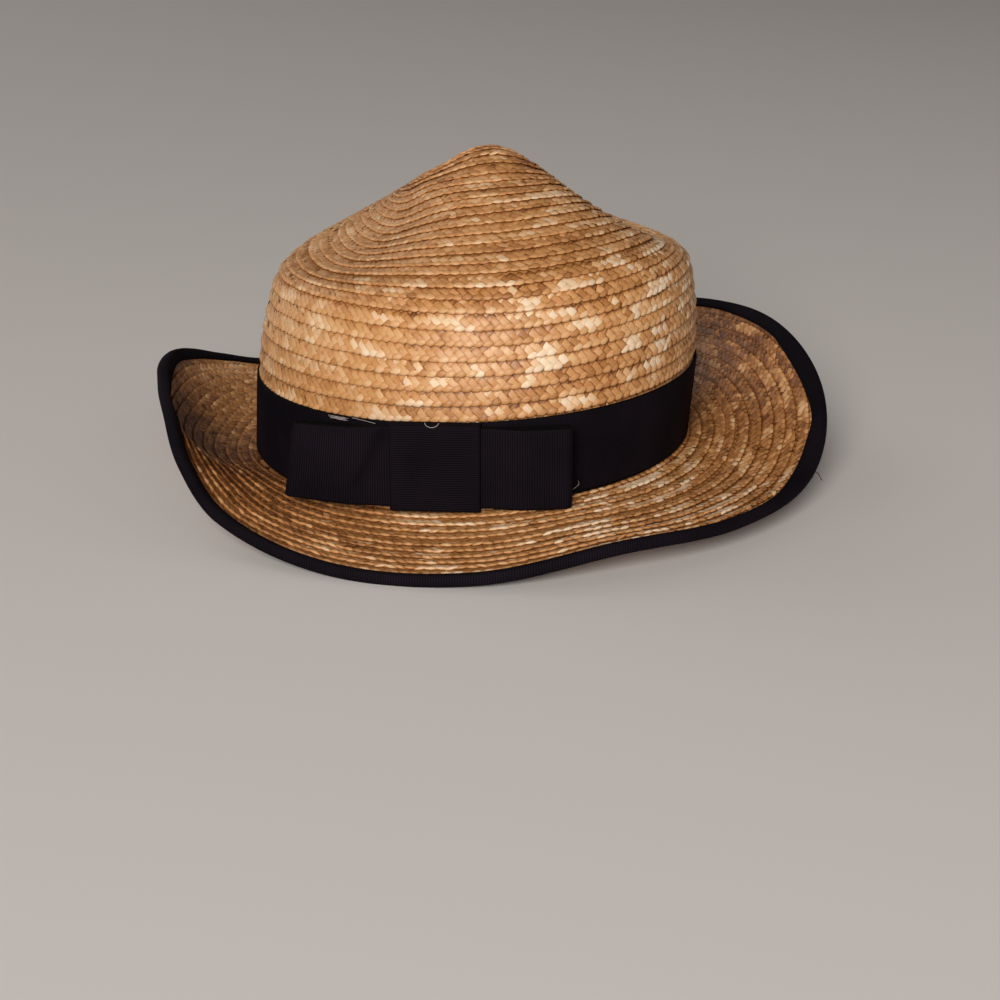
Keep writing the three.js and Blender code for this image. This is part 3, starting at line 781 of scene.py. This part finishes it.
def add_thread(parts, path, radius, shade):
    """A fine thread along a path, four-sided and closed at its ends."""
    path = np.asarray(path, float)
    near, far = 0.75, 0.25
    for _ in range(3):
        before, after = path[:-1], path[1:]
        cut = np.stack([near * before + far * after, far * before + near * after], axis=1)
        path = np.concatenate([path[:1], cut.reshape(-1, 3), path[-1:]])
    tangent = unit(np.gradient(path, axis=0))
    aslant = (0.3, 0.2, 1.0)
    across = unit(np.cross(tangent, aslant))
    other = np.cross(tangent, across)
    ring = [path + radius * step for step in (across, other, -across, -other)]
    last = 4 * (len(path) - 1)
    faces = np.concatenate([
        grid_faces(len(path), 4, False, True),
        [[0, 1, 2, 3], [last + 3, last + 2, last + 1, last]],
    ])
    parts.add(np.stack(ring, axis=1), faces, rib=np.full(4 * len(path), shade))


def torus_piece(name, node_name, grid, rib, material, threads):
    """A ribbon that closes on itself: columns along it, rows round its section."""
    parts = Parts("rib")
    parts.add(grid, grid_faces(*grid.shape[:2], True, True), rib=rib.ravel())
    for path, radius, shade in threads:
        add_thread(parts, path, radius, shade)
    piece = parts.piece(name, material)
    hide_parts(node_name)
    return piece


def band_points(way):
    """Points on the band by azimuth, height above the foot and distance from the straw."""
    along = np.array([along_at_height(height) for height in way[:, 1]])
    return crown_offset(way[:, 0], along, way[:, 2])


def hat_band(material):
    count = RIB_STEPS * round(2 * math.pi * BAND_RADIUS / RIB_PITCH)
    turns = np.linspace(-180, 180, count, endpoint=False)
    wave = rib_wave(count)
    _, face, full = BAND_EDGE[-1]
    # height above the foot, distance from the straw, share of the rib
    section = (
        *((BAND_LOW + way, GAP + over, share) for way, over, share in BAND_EDGE),
        *((BAND_LOW + way, GAP + face, full) for way in BAND_INNER),
        *((BAND_HIGH - way, GAP + over, share) for way, over, share in BAND_EDGE[::-1]),
        (BAND_HIGH, GAP, 0.0), (BAND_LOW, GAP, 0.0),
    )
    columns, ribs = [], []
    for height, distance, share in section:
        along = np.full(count, along_at_height(height))
        columns.append(crown_offset(turns, along, distance + RIB_HEIGHT * share * wave))
        # Painted light on the ribs' tops
        ribs.append(RIB_TOP_PAINTED_LIGHT * share * wave)
    grid, rib = np.stack(columns, axis=1), np.stack(ribs, axis=1)
    threads = []
    for _ in range(LINT_COUNT):
        way = LINT_MIDDLE + rng.uniform(-1, 1, (4, 3)) * LINT_SIZE
        threads.append((way, LINT_RADIUS, PALE))
    threads += [(np.array(way), BAND_THREAD_RADIUS, PALE) for way in BAND_THREADS]
    threads = [(band_points(way), radius, shade) for way, radius, shade in threads]
    return torus_piece("hat_band_ribbon", "hat_band", grid, rib, material, threads)


def brim_binding(material):
    count = RIB_STEPS * round(BINDING_LENGTH / RIB_PITCH)
    turns = np.linspace(-180, 180, count, endpoint=False)
    wave = rib_wave(count)
    reach = curve(BINDING_REACH, 1, turns, 360.0)
    top, bottom = -GAP, STRAW + GAP
    end = BRIM_WIDTH + GAP
    thick = RIBBON - RIB_HEIGHT
    # face or end, share of the reach in from the edge, way past that, below, outward step of a rib
    section = (
        ("upper", 1.0, 0.0, top - 0.45, (0, -0.3)), ("upper", 0.93, 0.0, top - thick, (0, -1)),
        ("upper", 0.5, 0.0, top - thick, (0, -1)), ("end", 0, -0.1, top - thick, (0, -1)),
        ("end", 0, thick * 0.6, top - thick * 0.66, (0.7, -0.7)), ("end", 0, thick, 0.35, (1, -0.2)),
        ("end", 0, thick, STRAW - 0.35, (1, 0.2)),
        ("end", 0, thick * 0.6, bottom + thick * 0.66, (0.7, 0.7)),
        ("end", 0, -0.1, bottom + thick, (0, 1)), ("lower", 0.5, 0.0, bottom + thick, (0, 1)),
        ("lower", 0.95, 0.0, bottom + thick, (0, 1)), ("lower", 1.0, 0.0, bottom + 0.45, (0, 0.3)),
        ("lower", 1.0, 0.0, bottom, (0, 0)), ("end", 0, 0.0, bottom, (0, 0)),
        ("end", 0, 0.0, top, (0, 0)), ("upper", 1.0, 0.0, top, (0, 0)),
    )
    widths = {"upper": reach, "lower": np.full(count, BINDING_WIDTH), "end": np.zeros(count)}
    columns, ribs = [], []
    for kind, share, past, below, (step_out, step_below) in section:
        out = (BRIM_WIDTH if kind != "end" else end) - share * widths[kind] + past
        strength = math.hypot(step_out, step_below)
        rib_out, rib_below = RIB_HEIGHT * step_out * wave, RIB_HEIGHT * step_below * wave
        columns.append(brim(turns, out + rib_out, below + rib_below))
        # Painted light on the ribs' tops
        ribs.append(RIB_TOP_PAINTED_LIGHT * min(strength, 1.0) * wave)
    grid, rib = np.stack(columns, axis=1), np.stack(ribs, axis=1)
    grid[..., 2] = np.maximum(grid[..., 2], 0.0)
    threads = []
    for azimuth, way in BINDING_THREADS:
        start = brim(np.array(azimuth), np.array(end + FRAY_START), STRAW)
        threads.append((start + np.array(way), FRAY_RADIUS, FRAY_SHADE))
    return torus_piece("brim_binding_ribbon", "brim_binding", grid, rib, material, threads)


def turned(angle, axis):
    """Turn by an angle in degrees about the z or the y axis, as a matrix."""
    c, s = math.cos(math.radians(angle)), math.sin(math.radians(angle))
    if axis == "z":
        return np.array(((c, -s, 0), (s, c, 0), (0, 0, 1)))
    return np.array(((c, 0, s), (0, 1, 0), (-s, 0, c)))


def bow_frame():
    """Origin and axes of the bow against the band: X along its ribbon, -Y away from the hat."""
    def on_band(height):
        return crown_offset(BOW_AZIMUTH, along_at_height(height), GAP + RIBBON)
    nx, ny = foot_normal(BOW_AZIMUTH)
    outward, level = np.array((nx, ny, 0)), np.array((-ny, nx, 0))
    wall = on_band(BAND_HIGH) - on_band(BAND_LOW)
    up = unit(wall - level * wall.dot(level))
    axes = np.stack([level, np.cross(up, level), up], axis=1)
    origin = on_band(BOW_LOW + BOW_RIBBON_HEIGHT / 2) + outward * BOW_STANDOFF
    return origin, axes @ turned(BOW_YAW, "z") @ turned(-BOW_TILT, "y")


BOW_ORIGIN, BOW_AXES = bow_frame()


def on_bow(local):
    return BOW_ORIGIN + local @ BOW_AXES.T


def even_steps(path, step):
    """A path resampled at even steps, a whole number of ribs long."""
    way = np.concatenate([[0], np.cumsum(np.linalg.norm(np.diff(path, axis=0), axis=1))])
    count = RIB_STEPS * round(way[-1] / step / RIB_STEPS) + 1
    at = np.linspace(0, way[-1], count)
    return np.stack([np.interp(at, way, path[:, k]) for k in range(path.shape[1])], axis=1)


def creased(out, height):
    """Share of a crease's depth, 1 on its line and 0 away from it."""
    (out_top, high), (out_low, low), width = CREASE
    length = math.hypot(out_low - out_top, low - high)
    line = np.array((out_low - out_top, low - high)) / length
    aside = (out - out_top) * line[1] - (height - high) * line[0]
    way = (out - out_top) * line[0] + (height - high) * line[1]
    top = smooth_step(way, *CREASE_FADE_TOP)
    bottom = 1 - smooth_step(way, *(length + fade for fade in CREASE_FADE_LOW))
    return np.exp(-(aside / width) ** 2) * top * bottom


def ribbon_section(half, inner):
    """Section of a bow ribbon: place across it, depth under the outer face, share of the rib."""
    return (
        *((way - half, depth, share) for way, depth, share in SELVEDGE),
        *((place, RIB_HEIGHT, 1.0) for place in inner),
        *((half - way, depth, share) for way, depth, share in SELVEDGE[::-1]),
        (half, RIBBON, 0.0), (-half, RIBBON, 0.0),
    )


def bow_loop(name, side, length, bend, droop, taper, slant, crease, material):
    """One flat loop: out along its outer face, round the fold and back along its inner face."""
    angle = math.radians(bend)

    def place(s, aside):
        past = np.maximum(s - LOOP_STRAIGHT, 0)
        soft = angle * smooth_step(s, LOOP_STRAIGHT - LOOP_BEND_REACH, LOOP_STRAIGHT + LOOP_BEND_REACH)
        x = np.minimum(s, LOOP_STRAIGHT) + past * math.cos(angle) - aside * np.sin(soft)
        return np.stack([side * x, past * math.sin(angle) + aside * np.cos(soft)], axis=-1)

    def bulge(s):
        return LOOP_THICKNESS / 2 + LOOP_BULGE * smooth_step(s, LOOP_STRAIGHT, length * LOOP_BULGE_END)

    size = float(bulge(np.array(length)))
    fold = length - size
    reach = np.linspace(GAP, fold, LOOP_SAMPLES)
    bow = np.radians(np.linspace(-90, 90, FOLD_SAMPLES)[1:-1])
    s = np.concatenate([reach, fold + size * np.cos(bow), reach[::-1]])
    aside = np.concatenate([-bulge(reach), size * np.sin(bow), bulge(reach[::-1])])
    path = even_steps(np.stack([s, aside], axis=1), RIB_PITCH / RIB_STEPS)
    count = len(path)
    wave = rib_wave(count)
    line = place(path[:, 0], path[:, 1])
    tangent = np.gradient(line, axis=0)
    normal = unit(np.stack([tangent[:, 1], -tangent[:, 0]], axis=1)) * side
    past = np.maximum(path[:, 0] - LOOP_STRAIGHT, 0)
    half = BOW_RIBBON_HEIGHT / 2
    inner = np.linspace(LOOP_INNER_MARGIN - half, half - LOOP_INNER_MARGIN, LOOP_INNER_ROWS)
    columns, ribs = [], []
    for height, depth, share in ribbon_section(half, inner):
        inward = depth - RIB_HEIGHT * share * wave
        flat = line - normal * inward[:, None]
        z = height * (1 - taper * past) - droop * past - LOOP_SAG * smooth_step(past, 0, LOOP_SAG_REACH)
        dent = creased(path[:, 0], height) * (path[:, 1] < 0)
        x, y = flat[:, 0] - side * slant * height * past, flat[:, 1] + crease * dent
        columns.append(np.stack([x, y, z], axis=1))
        # Painted light on the ribs' tops, darkened in the crease by painted shade
        ribs.append(RIB_TOP_PAINTED_LIGHT * share * wave * (1 - CREASE_PAINTED_SHADE * crease * dent))
    local = np.stack(columns, axis=1)
    local[..., 1] -= GAP + RIBBON + GAP + LOOP_THICKNESS / 2
    rib = np.stack(ribs, axis=1)
    faces = grid_faces(count, local.shape[1], False, True)
    if side > 0:
        faces = faces[:, ::-1]
    parts = Parts("rib")
    parts.add(on_bow(local), faces, rib=rib.ravel())
    piece = parts.piece(name + "_ribbon", material)
    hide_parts(name)
    return piece


def bow_knot(material):
    deep = LOOP_THICKNESS + 2 * GAP
    high = BOW_RIBBON_HEIGHT + 2 * GAP
    y = deep / 2 + RIBBON - KNOT_CORNER
    z = high / 2 + RIBBON - KNOT_CORNER
    ring = []
    for side_y, side_z, begin in ((-1, 1, 90), (-1, -1, 180), (1, -1, 270), (1, 1, 0)):
        a = np.radians(begin + np.linspace(0, 90, CORNER_SAMPLES))
        corner = [side_y * y + KNOT_CORNER * np.cos(a), side_z * z + KNOT_CORNER * np.sin(a)]
        ring.append(np.stack(corner, axis=1))
    ring = np.concatenate(ring + [ring[0][:1]])
    path = even_steps(ring, RIB_PITCH / RIB_STEPS)[:-1]
    count = len(path)
    wave = rib_wave(count)
    tangent = np.roll(path, -1, axis=0) - np.roll(path, 1, axis=0)
    normal = unit(np.stack([tangent[:, 1], -tangent[:, 0]], axis=1))
    half = KNOT_WIDTH / 2
    columns, ribs = [], []
    for x, depth, share in ribbon_section(half, (-half / 3, half / 3)):
        flat = path - normal * (depth - RIB_HEIGHT * share * wave)[:, None]
        columns.append(np.stack([np.full(count, x), flat[:, 0], flat[:, 1]], axis=1))
        # Painted light on the ribs' tops
        ribs.append(RIB_TOP_PAINTED_LIGHT * share * wave)
    local, rib = np.stack(columns, axis=1), np.stack(ribs, axis=1)
    local[..., 1] -= GAP + RIBBON + deep / 2
    threads = [(on_bow(np.array(KNOT_THREAD)), KNOT_THREAD_RADIUS, PALE)]
    return torus_piece("bow_knot_ribbon", "bow_knot", on_bow(local), rib, material, threads)


straw = straw_material()
ribbon = ribbon_material()
for piece in straw_pieces(straw):
    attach(piece, "root")
ribbons = [hat_band(ribbon), brim_binding(ribbon), bow_knot(ribbon)]
ribbons += [bow_loop(*loop, ribbon) for loop in BOW_LOOPS]
for piece in ribbons:
    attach(piece, "root")


def floor():
    half = FLOOR_HALF
    mesh = bpy.data.meshes.new("floor")
    mesh.from_pydata(
        [(-half, -half, 0), (half, -half, 0), (half, half, 0), (-half, half, 0)], [], [(0, 1, 2, 3)],
    )
    made = bpy.data.objects.new("floor", mesh)
    bpy.context.scene.collection.objects.link(made)
    material, _, shader = new_material("floor", Roughness=0.9)
    shader.inputs["Base Color"].default_value = FLOOR_COLOUR
    mesh.materials.append(material)


def lamp(name, place, size, power, colour):
    data = bpy.data.lights.new(name, "AREA")
    data.shape = "DISK"
    data.size = size
    data.energy = power
    data.color = colour
    made = bpy.data.objects.new(name, data)
    made.location = place
    made.rotation_euler = (Vector(LAMP_AIM) - Vector(place)).to_track_quat("-Z", "Y").to_euler()
    bpy.context.scene.collection.objects.link(made)


def studio():
    world = bpy.data.worlds.new("world")
    bpy.context.scene.world = world
    world.use_nodes = True
    world.node_tree.nodes["Background"].inputs["Color"].default_value = WORLD_COLOUR
    world.node_tree.nodes["Background"].inputs["Strength"].default_value = WORLD_STRENGTH
    for settings in LAMPS:
        lamp(*settings)
    bpy.context.scene.view_settings.view_transform = "Standard"


def camera():
    data = bpy.data.cameras.new("camera")
    data.sensor_width = SENSOR
    data.lens = SENSOR * FOCAL
    made = bpy.data.objects.new("camera", data)
    centre = np.array((0.0, 0.0, FOOT_HEIGHT)) + SHIFT
    place = Vector((centre + np.array(CAMERA_PLACE)) * MM)
    aim = Vector((centre + np.array(CAMERA_AIM)) * MM)
    made.location = place
    made.rotation_euler = (aim - place).to_track_quat("-Z", "Y").to_euler()
    bpy.context.scene.collection.objects.link(made)
    bpy.context.scene.camera = made


floor()
studio()
camera()
